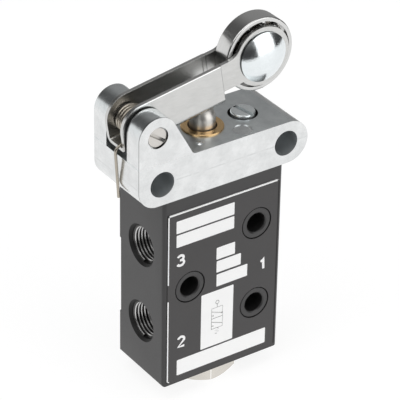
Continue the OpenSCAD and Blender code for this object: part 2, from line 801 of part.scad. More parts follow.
module bearing_balls() {
    color([0.85, 0.85, 0.86]) on_roller()
        for (i = [1:balls]) rotate([0, i * 360 / balls, 0]) translate([race_r, 0, 0]) sphere(d = ball_d);
}

valve_body();
label_plate();
head_block();
head_seal();
head_screws();
plunger_bush();
plunger_seal();
plunger();
spool();
spool_seal(0);  // spool_seal_1
spool_seal(1);  // spool_seal_2
spool_seal(2);  // spool_seal_3
spool_seal(3);  // spool_seal_4
spacer(0);  // spacer_1
spacer(1);  // spacer_2
spacer(2);  // spacer_3
return_spring();
end_plug();
plug_seal();
pivot_pin();
torsion_spring();
lever();
roller_axle();
axle_cap();
washer(1);  // washer_front
washer(-1);  // washer_back
bearing_inner_ring();
bearing_outer_ring();
bearing_cage();
bearing_balls();
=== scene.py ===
import bpy
import math
from mathutils import Matrix, Vector


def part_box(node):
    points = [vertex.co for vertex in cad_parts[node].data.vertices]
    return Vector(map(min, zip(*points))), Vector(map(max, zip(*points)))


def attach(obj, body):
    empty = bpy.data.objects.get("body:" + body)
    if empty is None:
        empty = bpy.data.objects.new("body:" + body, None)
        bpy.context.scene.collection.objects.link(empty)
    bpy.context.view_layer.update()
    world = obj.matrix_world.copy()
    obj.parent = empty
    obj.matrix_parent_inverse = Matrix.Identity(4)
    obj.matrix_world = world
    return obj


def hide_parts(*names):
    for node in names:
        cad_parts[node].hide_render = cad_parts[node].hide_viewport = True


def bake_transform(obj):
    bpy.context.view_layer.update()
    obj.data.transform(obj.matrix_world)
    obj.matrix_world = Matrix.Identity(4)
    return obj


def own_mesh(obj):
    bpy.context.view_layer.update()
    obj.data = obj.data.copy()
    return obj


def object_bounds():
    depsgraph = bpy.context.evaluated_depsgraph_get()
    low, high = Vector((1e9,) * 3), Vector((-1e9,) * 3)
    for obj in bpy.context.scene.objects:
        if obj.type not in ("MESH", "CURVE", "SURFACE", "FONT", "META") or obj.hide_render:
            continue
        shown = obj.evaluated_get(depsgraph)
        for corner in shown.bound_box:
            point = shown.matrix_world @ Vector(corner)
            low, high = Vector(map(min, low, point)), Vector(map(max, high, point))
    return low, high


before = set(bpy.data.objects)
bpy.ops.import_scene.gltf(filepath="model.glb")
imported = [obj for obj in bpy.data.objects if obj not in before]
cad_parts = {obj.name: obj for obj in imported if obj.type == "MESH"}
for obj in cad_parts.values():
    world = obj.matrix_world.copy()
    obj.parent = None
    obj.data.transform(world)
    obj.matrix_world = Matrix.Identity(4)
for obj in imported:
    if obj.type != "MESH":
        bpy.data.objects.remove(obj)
cad_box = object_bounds()

# Valve body: a die-cast block with a shallow waist, three ports and three fixing holes.
# It is sprayed satin black all over, so its edges are soft and its skin is slightly pebbled.
mm = 0.001
weld, flat = 0.001 * mm, math.radians(0.3)


class Tone:
    """One output of a finish; arithmetic on it adds Math nodes."""

    def __init__(self, socket):
        self.socket = socket

    def node(self, kind, settings, sockets, out=0):
        made = self.socket.id_data.nodes.new("ShaderNode" + kind)
        for name, value in settings.items():
            setattr(made, name, value)
        connect(made, sockets)
        return Tone(made.outputs[out])

    def maths(self, operation, first, second):
        return self.node("Math", {"operation": operation}, {0: first, 1: second})

    def __add__(self, other):
        return self.maths("ADD", self, other)

    def __radd__(self, other):
        return self.maths("ADD", other, self)

    def __sub__(self, other):
        return self.maths("SUBTRACT", self, other)

    def __rsub__(self, other):
        return self.maths("SUBTRACT", other, self)

    def __mul__(self, other):
        return self.maths("MULTIPLY", self, other)

    def __rmul__(self, other):
        return self.maths("MULTIPLY", other, self)


def connect(target, sockets):
    """Links or sets a node's inputs."""
    for name, value in sockets.items():
        if isinstance(value, Tone):
            target.id_data.links.new(value.socket, target.inputs[name])
        else:
            target.inputs[name].default_value = value


def new_finish(name):
    """A new material, its shader, and the place on the piece that its patterns read."""
    finish = bpy.data.materials.new(name)
    finish.use_nodes = True
    tree = finish.node_tree
    place = Tone(tree.nodes.new("ShaderNodeTexCoord").outputs["Object"])
    return finish, tree.nodes["Principled BSDF"], place


def grain(place, size, stretch=(1, 1, 1), detail=3):
    drawn = place.node("Mapping", {}, {"Vector": place, "Scale": stretch})
    return place.node("TexNoise", {}, {"Vector": drawn, "Scale": 1 / size, "Detail": detail, "Roughness": 0.6})


def between(share, low, high):
    return share.node("Mix", {"data_type": "RGBA"}, {0: share, 6: low, 7: high}, out=2)


def relief(height, strength, depth):
    return height.node("Bump", {}, {"Strength": strength, "Distance": depth, "Height": height})


def select_only(piece):
    bpy.ops.object.select_all(action="DESELECT")
    piece.select_set(True)
    bpy.context.view_layer.objects.active = piece


def softened(node, body, finish, edge=0, steps=2, corner=32):
    """A merged, smoothly shaded copy of a CAD node, its sharp edges rounded by edge, in the node's place."""
    piece = bpy.data.objects.new(node + "_finished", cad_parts[node].data.copy())
    bpy.context.collection.objects.link(piece)
    select_only(piece)
    if piece.data.has_custom_normals:
        bpy.ops.mesh.customdata_custom_splitnormals_clear()
    bpy.ops.object.mode_set(mode="EDIT")
    bpy.ops.mesh.select_all(action="SELECT")
    bpy.ops.mesh.remove_doubles(threshold=weld)
    bpy.ops.mesh.dissolve_limited(angle_limit=flat)
    bpy.ops.object.mode_set(mode="OBJECT")
    bpy.ops.object.shade_smooth_by_angle(angle=math.radians(corner))
    if edge:
        rounding = piece.modifiers.new("edges", "BEVEL")
        rounding.width = edge
        rounding.segments = steps
        rounding.limit_method = "ANGLE"
        rounding.angle_limit = math.radians(corner)
        rounding.harden_normals = True
        bpy.ops.object.modifier_apply(modifier="edges")
    piece.data.materials.clear()
    piece.data.materials.append(finish)
    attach(piece, body)
    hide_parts(node)
    return piece


body_paint, shader, place = new_finish("body_black")
pebble = grain(place, 0.45 * mm)
connect(shader, {
    "Base Color": between(grain(place, 7 * mm), (0.028, 0.027, 0.0275, 1), (0.04, 0.039, 0.0395, 1)),
    "Roughness": 0.3 + 0.16 * pebble,
    "Normal": relief(pebble, 0.3, 0.02 * mm)})
valve_body = softened("valve_body", "valve", body_paint, edge=0.2 * mm)

# Fixing holes and port mouths: drilled through the painted block; their walls, and the seat floors round the fixing
# holes, are dull and darker than the rest: painted shade inside the holes.
# A sunk seat rings each fixing hole at the front, and each port has a cone to lead a fitting in.
middle_y = -9.7 * mm
fixing_places = [Vector((x * mm, 0, z * mm)) for x, z in ((-9.6, -31.1), (9.6, -19.6), (9.6, -42.6))]
fixing_r, seat_r, seat_floor = 2.75 * mm, 4.35 * mm, -19.0 * mm
port_places = ((3, -1, -22.0 * mm), (1, 1, -32.9 * mm), (2, -1, -43.8 * mm))
mouth_r, mouth_bottom, mouth_rim = 5.5 * mm, 8 * mm, 17.1 * mm
painted_shade_black, shader, place = new_finish("painted_shade_black")
tool_marks = grain(place, 0.3 * mm)
connect(shader, {
    "Base Color": between(tool_marks, (0.008, 0.008, 0.008, 1), (0.018, 0.0175, 0.0175, 1)),
    "Roughness": 0.4 + 0.2 * tool_marks,
    "Specular IOR Level": 0.25,
    "Normal": relief(tool_marks, 0.2, 0.01 * mm)})


def second_finish(piece, finish, chosen):
    """Gives the faces chosen by their middle and normal a finish of their own."""
    piece.data.materials.append(finish)
    for face in piece.data.polygons:
        if chosen(face.center, face.normal):
            face.material_index = len(piece.data.materials) - 1


def in_fixing_hole(at, normal):
    away = min(math.hypot(at.x - hole.x, at.z - hole.z) for hole in fixing_places)
    sunk = seat_floor - 0.3 * mm < at.y < seat_floor + 0.1 * mm
    return away < fixing_r and abs(normal.y) < 0.6 or away < seat_r and sunk


def in_port_mouth(at):
    return any(
        math.hypot(at.y - middle_y, at.z - z) < mouth_r and mouth_bottom < at.x * side < mouth_rim
        for _, side, z in port_places)


# Painted shade: the fixing holes' walls, their seat floors and the port mouths get the near-black finish.
second_finish(valve_body, painted_shade_black, lambda at, normal: in_fixing_hole(at, normal) or in_port_mouth(at))

# Lands of the fixing holes: a flat painted ring stands in the seat round each hole, a little below the label.
# A fine groove is left round it, and its inner edge is chamfered.
land_steps = ((4.02, 0.01), (4.02, 0.5), (3.9, 0.56), (2.95, 0.56), (2.66, 0.3), (2.66, 0.01))
round_steps = 96


def turned_ring(name, steps, tilt, foot, finish):
    """A ring turned from a closed outline of radius and height in mm, its axis tilted back from upright."""
    bpy.ops.object.select_all(action="DESELECT")
    bpy.ops.mesh.primitive_circle_add(vertices=len(steps), radius=1 * mm)
    ring = bpy.context.object
    ring.name = name
    for corner, (r, h) in zip(ring.data.vertices, steps):
        corner.co = (r * mm, 0, h * mm)
    turning = ring.modifiers.new("turning", "SCREW")
    turning.steps = turning.render_steps = round_steps
    turning.use_merge_vertices = True
    turning.merge_threshold = weld
    bpy.ops.object.modifier_apply(modifier="turning")
    ring.rotation_euler = (tilt, 0, 0)
    ring.location = foot
    bpy.ops.object.transform_apply(location=True, rotation=True, scale=True)
    bpy.ops.object.mode_set(mode="EDIT")
    bpy.ops.mesh.select_all(action="SELECT")
    bpy.ops.mesh.normals_make_consistent(inside=False)
    bpy.ops.object.mode_set(mode="OBJECT")
    bpy.ops.object.shade_smooth_by_angle(angle=math.radians(15))
    ring.data.materials.append(finish)
    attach(ring, "valve")
    return ring


for number, hole in enumerate(fixing_places, 1):
    turned_ring(f"fixing_land_{number}", land_steps, math.pi / 2, hole + Vector((0, seat_floor, 0)),
                body_paint)

# Port threads: one helical ridge in each port, near black in its roots and pale grey at its crest: painted shade in
# the roots and a painted highlight on the crest.
# Its flanks carry the fine tool marks of the tap.
thread_pitch, thread_turns, thread_steps = 0.907 * mm, 7, 48
thread_root, thread_crest = 4.855 * mm, 4.28 * mm
thread_ridge = ((thread_root, 0), (thread_crest, 0.5), (thread_root, 0.98))
thread_start = 16.5 * mm


def xyz(place):
    return [place.node("SeparateXYZ", {}, {0: place}, out=axis) for axis in range(3)]


def fade(value, start, stop, low=0.0, high=1.0):
    return value.node("MapRange", {"interpolation_type": "SMOOTHSTEP"}, {
        "Value": value, "From Min": start, "From Max": stop, "To Min": low, "To Max": high})


thread_metal, shader, place = new_finish("thread_black")
marks = grain(place, 0.15 * mm, stretch=(4, 1, 1))
_, across, height = xyz(place)
port_step = port_places[0][2] - port_places[1][2]
beside = across - middle_y
above = place.node("Math", {"operation": "WRAP"}, {
    0: height - port_places[0][2], 1: port_step / 2, 2: -port_step / 2})
from_axis = place.maths("SQRT", beside * beside + above * above, 0)
# Painted highlight and shade: the colour turns pale towards the ridge's crest and stays near black in the roots.
crest_highlight = fade(from_axis, thread_crest + 0.08 * mm, thread_crest + 0.3 * mm, 1, 0)
connect(shader, {
    "Base Color": between(
        crest_highlight * (0.6 + 0.4 * marks), (0.07, 0.069, 0.068, 1), (0.85, 0.845, 0.84, 1)),
    "Metallic": 0.82,
    "Roughness": 0.2 + 0.14 * marks,
    "Normal": relief(marks, 0.2, 0.01 * mm)})
for number, side, z in port_places:
    bpy.ops.object.select_all(action="DESELECT")
    bpy.ops.mesh.primitive_circle_add(vertices=len(thread_ridge), radius=thread_crest)
    thread = bpy.context.object
    thread.name = f"port_{number}_thread"
    for corner, (r, h) in zip(thread.data.vertices, thread_ridge):
        corner.co = (r, 0, h * thread_pitch)
    helix = thread.modifiers.new("helix", "SCREW")
    helix.screw_offset = thread_pitch
    helix.iterations = thread_turns
    helix.steps = helix.render_steps = thread_steps
    bpy.ops.object.modifier_apply(modifier="helix")
    thread.rotation_euler = (0, -side * math.pi / 2, 0)
    thread.location = (side * thread_start, middle_y, z)
    bpy.ops.object.transform_apply(location=True, rotation=True, scale=True)
    bpy.ops.object.mode_set(mode="EDIT")
    bpy.ops.mesh.select_all(action="SELECT")
    bpy.ops.mesh.fill_holes(sides=4)
    bpy.ops.mesh.normals_make_consistent(inside=False)
    bpy.ops.object.mode_set(mode="OBJECT")
    bpy.ops.object.shade_smooth_by_angle(angle=math.radians(40))
    thread.data.materials.append(thread_metal)
    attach(thread, "valve")

# Label: a thin dark film on the front face, with white printed fields left bare, port numbers and a frame line.
# The film stops a little short of its full thickness, and the ink lies on it as a thin layer.
# Its cut upper edge shows white.
ink = 0.02 * mm
label_face, label_top = -19.649 * mm, -9.5 * mm
film_grey, shader, place = new_finish("label_grey")
weave = grain(place, 0.25 * mm)
connect(shader, {
    "Base Color": between(grain(place, 9 * mm), (0.036, 0.034, 0.0345, 1), (0.046, 0.0435, 0.044, 1)),
    "Roughness": 0.36 + 0.12 * weave,
    "Normal": relief(weave, 0.15, 0.01 * mm)})
film = softened("label_plate", "valve", film_grey, edge=0.06 * mm)
for corner in film.data.vertices:
    if corner.co.y < label_face / 2:
        corner.co.y = max(corner.co.y, label_face + ink)

white_ink, shader, place = new_finish("label_white")
screen = grain(place, 0.2 * mm)
connect(shader, {
    "Base Color": between(grain(place, 5 * mm), (0.92, 0.92, 0.92, 1), (0.97, 0.97, 0.965, 1)),
    "Roughness": 0.45 + 0.1 * screen,
    "Normal": relief(screen, 0.1, 0.005 * mm)})
second_finish(film, white_ink, lambda at, normal: normal.z > 0.5 and at.z > label_top)


def printed_field(left, right, top, bottom, corner, lift=0.8 * ink):
    """A flat patch of ink on the label's film, its sides and rounded corners in mm."""
    bpy.ops.object.select_all(action="DESELECT")
    bpy.ops.mesh.primitive_plane_add(
        size=1 * mm, rotation=(math.pi / 2, 0, 0),
        location=((left + right) / 2 * mm, label_face + ink - lift, (top + bottom) / 2 * mm))
    patch = bpy.context.object
    patch.scale = (right - left, top - bottom, 1)
    bpy.ops.object.transform_apply(location=True, rotation=True, scale=True)
    bpy.ops.object.mode_set(mode="EDIT")
    bpy.ops.mesh.select_all(action="SELECT")
    bpy.ops.mesh.bevel(offset=corner * mm, segments=3, affect="VERTICES")
    bpy.ops.object.mode_set(mode="OBJECT")
    layer = patch.modifiers.new("layer", "SOLIDIFY")
    layer.thickness = lift
    bpy.ops.object.modifier_apply(modifier="layer")
    return patch


def printed_stroke(points, wide):
    """A pen stroke of ink through points on the label: a round tube pressed flat."""
    pen = bpy.data.curves.new("stroke", "CURVE")
    pen.dimensions = "3D"
    pen.bevel_depth = wide / 2
    pen.bevel_resolution = 2
    pen.use_fill_caps = True
    path = pen.splines.new("POLY")
    path.points.add(len(points) - 1)
    for knot, (x, z) in zip(path.points, points):
        knot.co = (x, 0, z, 1)
    stroke = bpy.data.objects.new("stroke", pen)
    bpy.context.collection.objects.link(stroke)
    select_only(stroke)
    bpy.ops.object.convert(target="MESH")
    stroke = bpy.context.object
    stroke.scale = (1, ink / wide, 1)
    stroke.location = (0, label_face + ink / 2, 0)
    bpy.ops.object.transform_apply(location=True, rotation=True, scale=True)
    return stroke


def bow(x, z, wide, tall, start, stop, steps=14):
    """Points of an arc about x, z from start to stop in degrees."""
    turns = [math.radians(start + (stop - start) * step / steps) for step in range(steps + 1)]
    return [(x + wide * math.cos(turn), z + tall * math.sin(turn)) for turn in turns]


def joined(name, parts, finish):
    bpy.ops.object.select_all(action="DESELECT")
    for part in parts:
        part.select_set(True)
    bpy.context.view_layer.objects.active = parts[0]
    bpy.ops.object.join()
    whole = bpy.context.object
    whole.name = name
    whole.data.materials.clear()
    whole.data.materials.append(finish)
    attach(whole, "valve")
    return whole


field_places = (
    (-13.74, 2.9, -11.40, -14.83), (-13.69, 2.9, -15.3, -18.7), (-2.05, 3.35, -22.7, -26.05),
    (-1.97, 5.17, -26.55, -29.78), (-1.88, 7.17, -30.35, -33.82), (-6.25, 3.2, -34.94, -50.8),
    (-13.2, 13.2, -51.28, -55.75))
line_places = (
    (-16.08, 15.44, -9.24, -9.6), (-16.08, -15.75, -9.24, -28.6), (-16.08, -15.75, -33.3, -57.1),
    (-16.08, -15.4, -56.8, -57.1))
border_place = (15.74, 16.04, -9.7, -57)
field_corner, line_corner = 0.2, 0.08
number_wide, number_tall, number_line = 2.1, 2.8, 0.7 * mm
number_strokes = (
    ((-12.4, -22.6), bow(-0.02, 0.26, 0.4, 0.24, 160, -90) + bow(-0.02, -0.23, 0.46, 0.27, 90, -160)),
    ((11.8, -31.8), [(-0.3, 0.2), (0.02, 0.34), (0.16, 0.5), (0.16, -0.5), (0.06, -0.5), (0.06, 0.3)]),
    ((-12.0, -46.1), bow(0, 0.22, 0.42, 0.28, 165, -25) + [(-0.43, -0.5), (0.45, -0.5)]))
printed = [printed_field(*sides, field_corner) for sides in field_places]
printed += [printed_field(*sides, line_corner) for sides in line_places]
for (x, z), stroke in number_strokes:
    printed.append(printed_stroke(
        [((x + number_wide * u) * mm, (z + number_tall * v) * mm) for u, v in stroke], number_line))
joined("label_print", printed, white_ink)
# A near-black strip along the label's right edge: painted shade, the shadow line of the film's edge.
joined("label_border", [printed_field(*border_place, line_corner)], painted_shade_black)

# Circuit symbol: the usual drawing of a three-port valve with a roller and a spring.
# It is printed on its white field in fine grey lines, slightly worn.
line_grey, shader, place = new_finish("label_line_grey")
worn = grain(place, 0.6 * mm)
connect(shader, {
    "Base Color": between(worn, (0.03, 0.03, 0.03, 1), (0.14, 0.14, 0.14, 1)),
    "Roughness": 0.45 + 0.1 * worn})
symbol_x, symbol_z, symbol_size, symbol_line = -1.5, -42.9, 1.25, 0.17 * mm
symbol_strokes = (
    [(-1.3, -2.4), (1.3, -2.4), (1.3, 2.4), (-1.3, 2.4), (-1.3, -2.4)], [(-1.3, 0), (1.3, 0)],
    [(-1.3, 1.7), (1.3, 0.7)], [(-1.3, -0.7), (1.3, -1.7)], [(0.9, 0.62), (1.3, 0.7), (1.1, 1.0)],
    [(-1.3, 0.7), (-0.9, 0.7)], [(-0.9, 0.5), (-0.9, 0.9)],
    [(-1.3, -1.7), (-0.9, -1.7)], [(-0.9, -1.9), (-0.9, -1.5)],
    [(0, -2.4), (0.5, -2.7), (-0.5, -3.0), (0.5, -3.3), (-0.5, -3.6), (0, -3.8)],
    [(0, 2.4), (0, 3.2)], bow(0, 3.6, 0.4, 0.4, 0, 360))
joined("label_symbol", [printed_stroke(
    [((symbol_x + symbol_size * x) * mm, (symbol_z + symbol_size * z) * mm) for x, z in stroke], symbol_line)
    for stroke in symbol_strokes], line_grey)

# Valve stack: a hollow spool slides in four rubber rings, which drilled brass cages hold apart in the bore.
# None of it shows from outside, and each piece keeps the shape of its solid.
rubber, shader, place = new_finish("rubber")
bloom = grain(place, 0.8 * mm)
connect(shader, {
    "Base Color": between(bloom, (0.012, 0.012, 0.013, 1), (0.03, 0.03, 0.032, 1)),
    "Roughness": 0.5 + 0.25 * bloom,
    "Normal": relief(bloom, 0.15, 0.01 * mm)})


def metal(name, dull, bright, rough, size, stretch=(1, 1, 1), depth=0.006 * mm, bare=1.0):
    """A bare or plated metal whose grain has that size and stretch."""
    finish, shader, place = new_finish(name)
    fine = grain(place, size, stretch)
    coarse = grain(place, 12 * size, stretch)
    connect(shader, {
        "Base Color": between(0.5 * fine + 0.5 * coarse, dull + (1,), bright + (1,)),
        "Metallic": bare,
        "Roughness": rough * (0.7 + 0.6 * fine),
        "Normal": relief(fine, 0.3, depth)})
    return finish


steel = metal("steel", (0.55, 0.53, 0.5), (0.7, 0.68, 0.65), 0.36, 0.3 * mm, stretch=(1, 1, 6), depth=0.002 * mm)
brass = metal("brass", (0.66, 0.43, 0.2), (0.86, 0.6, 0.32), 0.26, 0.25 * mm, depth=0.003 * mm)
for finish, names in (
        (rubber, ("spool_seal_1", "spool_seal_2", "spool_seal_3", "spool_seal_4",
                  "plug_seal", "head_seal", "plunger_seal")),
        (steel, ("spool",)),
        (brass, ("spacer_1", "spacer_2", "spacer_3"))):
    for name in names:
        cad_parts[name].material_slots[0].material = finish

# Return spring: five turns of round wire in the plug's pocket, which push the spool back up.
spring_steel = metal("spring_steel", (0.3, 0.275, 0.23), (0.54, 0.495, 0.43), 0.25, 0.25 * mm)


def coiled_wire(name, points, thick):
    """A round spring wire bent through points."""
    bend = bpy.data.curves.new(name, "CURVE")
    bend.dimensions = "3D"
    bend.bevel_depth = thick / 2
    bend.bevel_resolution = 4
    bend.use_fill_caps = True
    path = bend.splines.new("POLY")
    path.points.add(len(points) - 1)
    for knot, point in zip(path.points, points):
        knot.co = (*point, 1)
    wire = bpy.data.objects.new(name, bend)
    bpy.context.collection.objects.link(wire)
    select_only(wire)
    bpy.ops.object.convert(target="MESH")
    wire = bpy.context.object
    bpy.ops.object.mode_set(mode="EDIT")
    bpy.ops.mesh.select_all(action="SELECT")
    bpy.ops.mesh.remove_doubles(threshold=weld)
    bpy.ops.mesh.normals_make_consistent(inside=False)
    bpy.ops.object.mode_set(mode="OBJECT")
    bpy.ops.object.shade_smooth_by_angle(angle=math.radians(50))
    wire.data.materials.append(spring_steel)
    return wire


return_low, return_high = (corner[2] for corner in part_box("return_spring"))
return_wire, return_r, return_turns, coil_steps = 0.7 * mm, 2.5 * mm, 5, 40
return_points = []
for step in range(return_turns * coil_steps + 1):
    turn = 2 * math.pi * step / coil_steps
    share = step / (return_turns * coil_steps)
    return_points.append((
        return_r * math.cos(turn), middle_y + return_r * math.sin(turn),
        return_low + return_wire / 2 + share * (return_high - return_low - return_wire)))
return_spring = coiled_wire("return_spring_wire", return_points, return_wire)
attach(return_spring, "valve")
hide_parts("return_spring")
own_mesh(return_spring)

# End plug: a hexagon plug turned from bar and nickel plated, screwed into the foot of the bore.
# Its flats keep the mill finish of the bar, and its rounded corners get a near-white metal: a painted highlight
# along each corner.
plug_metal = metal("plug_metal", (0.6, 0.57, 0.52), (0.77, 0.74, 0.69), 0.2, 0.3 * mm, stretch=(1, 1, 5))
corner_highlight_metal = metal("corner_highlight_metal", (0.92, 0.91, 0.89), (0.99, 0.98, 0.96), 0.2, 0.3 * mm)
hexagon_top, hexagon_r, hexagon_corner = -58.2 * mm, 8.5 * mm, math.radians(-104)
plug = softened("end_plug", "valve", plug_metal, edge=0.25 * mm, steps=3)
# Painted highlight on the hexagon's rounded corners.
second_finish(plug, corner_highlight_metal, lambda at, normal: (
    at.z < hexagon_top and math.hypot(at.x, at.y - middle_y) > hexagon_r and abs(normal.z) < 0.3
    and math.cos(6 * (math.atan2(normal.y, normal.x) - hexagon_corner)) > -0.6))

# Head block: a die-cast light-metal block with two ears for the lever's pin, left bare and faintly mottled.
# A faint parting line runs round it half way up.
# Its top and the crowns of the ears are linished, and their colour is a darker, bluish grey: a painted reflection.
parting_z, top_z, crown_low, crown_high = 0.1 * mm, 5.6 * mm, 12.5 * mm, 15.5 * mm
face_y, face_back = -19.38 * mm, -19.25 * mm
ear_edge_y, ear_left, ear_right = -19.15 * mm, -14 * mm, -11 * mm
bolt_hole_x, bolt_hole_r = 17.7 * mm, 3.32 * mm


def apart(value, level):
    return value.maths("ABSOLUTE", value - level, 0)


head_metal, shader, place = new_finish("head_metal")
mottle = grain(place, 0.6 * mm)
linish = grain(place, 0.5 * mm, stretch=(4, 0.35, 4))
cloud = grain(place, 3.5 * mm, detail=5)
skin = 0.5 * mottle + 0.5 * linish
patches = 0.65 * cloud + 0.35 * skin
aside, across, height = xyz(place)
parting = fade(apart(height, parting_z), 0.05 * mm, 0.28 * mm, 1, 0) * fade(cloud, 0.42, 0.55)
flat_top = fade(apart(height, top_z), 0.1 * mm, 0.25 * mm, 1, 0)
top_and_crowns = fade(across, face_y, face_back) * (flat_top + fade(height, crown_low, crown_high))
# Painted shade: a dark line on the ear crowns just behind their front edge.
ear_edge_shade = fade(apart(across, ear_edge_y), 0.06 * mm, 0.2 * mm, 1, 0) * fade(aside, ear_left, ear_right, 1, 0)
plain = between(patches, (0.5, 0.51, 0.512, 1), (0.95, 0.96, 0.96, 1))
# Painted reflection: the top and the ear crowns are tinted darker and bluish.
linished_reflection_tint = between(patches, (0.42, 0.45, 0.465, 1), (0.97, 1, 1, 1))
connect(shader, {
    "Base Color": between(
        0.65 * ear_edge_shade + 0.13 * parting, between(top_and_crowns, plain, linished_reflection_tint), (0.1, 0.1, 0.1, 1)),
    "Metallic": 1.0,
    "Roughness": 0.12 + 0.18 * skin + 0.12 * flat_top,
    "Normal": relief(skin + 2 * cloud + 0.5 * parting, 0.5, 0.03 * mm)})
# Painted shade: the walls of the two bolt holes get a duller, darker grey.
hole_shade_grey = metal("hole_shade_grey", (0.44, 0.46, 0.47), (0.6, 0.625, 0.635), 0.6, 0.4 * mm)
head_block = softened("head_block", "valve", head_metal, edge=0.12 * mm, steps=3)
second_finish(head_block, hole_shade_grey, lambda at, _: math.hypot(abs(at.x) - bolt_hole_x, at.z) < bolt_hole_r)

# Head screws: two slotted cheese-head screws, zinc plated, sunk in counterbores in the head.
# Their heads are a little slimmer than the counterbores and stand slightly proud.
# The counterbore walls round them are painted near black: painted shade in the gaps.
screw_x, screw_neck, slot_floor = 11.7 * mm, 2.5 * mm, 5.3 * mm
screw_slim, screw_proud = 0.94, 0.3 * mm
sink_r, sink_floor, sink_top = 3.8 * mm, 3.4 * mm, 5.55 * mm
bright_steel = metal("bright_steel", (0.74, 0.78, 0.79), (0.93, 0.97, 0.98), 0.2, 0.2 * mm, bare=0.82)
gap_shade = metal("gap_shade", (0.03, 0.03, 0.03), (0.12, 0.118, 0.115), 0.4, 0.2 * mm)
head_screws = softened("head_screws", "valve", bright_steel, edge=0.2 * mm, steps=3)
for corner in head_screws.data.vertices:
    axis = Vector((math.copysign(screw_x, corner.co.x), middle_y, corner.co.z))
    if corner.co.z > slot_floor or (corner.co - axis).length > screw_neck:
        corner.co = axis + screw_slim * (corner.co - axis)
    if corner.co.z > slot_floor:
        corner.co.z += screw_proud
# Painted shade on the counterbore walls round the screw heads.
second_finish(head_block, gap_shade, lambda at, normal: (
    abs(normal.z) < 0.5 and sink_floor < at.z < sink_top
    and math.hypot(abs(at.x) - screw_x, at.y - middle_y) < sink_r))

# Plunger and its guide bush: a ground steel pin with a round tip slides in a flanged bush.
# The bush is turned from brass and pressed into the head; its chamfer and bore are painted a dark brown: painted
# shade in the gap round the plunger.
bush_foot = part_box("plunger_bush")[0][2] / mm
bush_steps = (
    (3.24, bush_foot), (4.6, bush_foot), (4.6, 5.6), (5.25, 5.6), (5.25, 5.84), (5.21, 5.93), (5.11, 6), (3.59, 6),
    (3.24, 5.65))
bush = turned_ring("plunger_bush_turned", bush_steps, 0, (0, middle_y, 0), brass)
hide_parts("plunger_bush")
bush_bore_shade = metal("bush_bore_shade", (0.07, 0.045, 0.022), (0.2, 0.13, 0.07), 0.3, 0.2 * mm)
# Painted shade on the bush's chamfer and bore.
second_finish(bush, bush_bore_shade, lambda at, normal: (
    normal.x * at.x + normal.y * (at.y - middle_y) < -0.5 * math.hypot(at.x, at.y - middle_y)))
softened("plunger", "plunger_set", steel)

# Pivot pin: a ground steel pin with a screwdriver slot in its end, pressed into the head's ears.
# The rim round its slotted end is painted near black: painted shade of the gap round the pin.
pivot = Vector((-18.95 * mm, middle_y, 12.8 * mm))
pin_end, pin_rim_r = -17.5 * mm, 2.37 * mm
slot_turn = Matrix.Rotation(math.radians(14), 4, "Y")
pin = softened("pivot_pin", "valve", steel, edge=0.14 * mm)
pin.data.transform(Matrix.Translation(pivot) @ slot_turn @ Matrix.Translation(-pivot))
# Painted shade: a near-black ring round the pin's slotted end.
second_finish(pin, gap_shade, lambda at, _: (
    at.y < pin_end and math.hypot(at.x - pivot.x, at.z - pivot.z) > pin_rim_r))

# Torsion spring: five turns of round wire about the pin; one leg hangs down the head's left face,
# the other lies on the lever's web.
lever_tilt = math.radians(9.6)
torsion_wire, torsion_turns, knee_steps = 0.73 * mm, 5, 12
leg_foot, leg_top, flex_top = -5.8 * mm, 6.5 * mm, 7 * mm
leg_z, leg_end, knee_run = -3.155 * mm, 10 * mm, 1.8 * mm
coil_r, coil_back, coil_rise, coil_side = 3.355 * mm, 0.3 * mm, 0.2 * mm, 2.305 * mm


def on_lever(x, y, z):
    """Where a point measured from the pin along the resting lever lies in the frame."""
    return pivot + Matrix.Rotation(-lever_tilt, 3, "Y") @ Vector((x, y, z))


def off_head(x, y, z):
    """A point of the frame, beside the middle plane, measured from the pin along the resting lever."""
    return Matrix.Rotation(lever_tilt, 3, "Y") @ (Vector((x, middle_y + y, z)) - pivot)


hang_low = off_head(-24.0237 * mm, -0.8 * mm, leg_foot)
hang_top = off_head(-25.375 * mm, -1.6 * mm, leg_top)
hang_way = hang_top - hang_low
hang_corner = hang_top + hang_way * (leg_z - hang_top.z) / hang_way.z
hang_inside = hang_corner + Vector((knee_run, 0, 0))
torsion_points = [hang_low]
for step in range(knee_steps + 1):
    t = step / knee_steps
    torsion_points.append((1 - t) ** 2 * hang_top + 2 * t * (1 - t) * hang_corner + t * t * hang_inside)
for step in range(torsion_turns * coil_steps + 1):
    turn = 2 * math.pi * step / coil_steps
    share = step / (torsion_turns * coil_steps)
    torsion_points.append(Vector((
        coil_r * math.sin(turn) - coil_back, coil_side * (2 * share - 1), coil_rise - coil_r * math.cos(turn))))
torsion_points.append(Vector((leg_end, coil_side, leg_z)))
torsion_spring = coiled_wire("torsion_spring_wire", [on_lever(*point) for point in torsion_points], torsion_wire)
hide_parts("torsion_spring")
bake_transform(torsion_spring)

# Lever: a channel pressed from stainless sheet, its two arms set in to a fork for the roller.
# The rolled sheet's grain runs along it, a dark line of painted shade marks the crease where the arm is set in,
# and the upper edge of the front wall has a near-white painted highlight.
lever_x = Vector((math.cos(lever_tilt), 0, math.sin(lever_tilt)))
lever_up = Vector((-math.sin(lever_tilt), 0, math.cos(lever_tilt)))
crease_at, rim_at = 22.6 * mm + pivot.dot(lever_x), 5.76 * mm + pivot.dot(lever_up)
wall_face, wall_back = -13.45 * mm, -13.35 * mm
lever_plate, shader, place = new_finish("lever_plate")
rolled = grain(place, 0.5 * mm, stretch=(0.12, 2, 2))
cloud = grain(place, 4 * mm)
along, upward = (
    place.node("VectorMath", {"operation": "DOT_PRODUCT"}, {0: place, 1: way}, out=1) for way in (lever_x, lever_up))
_, across, _ = xyz(place)
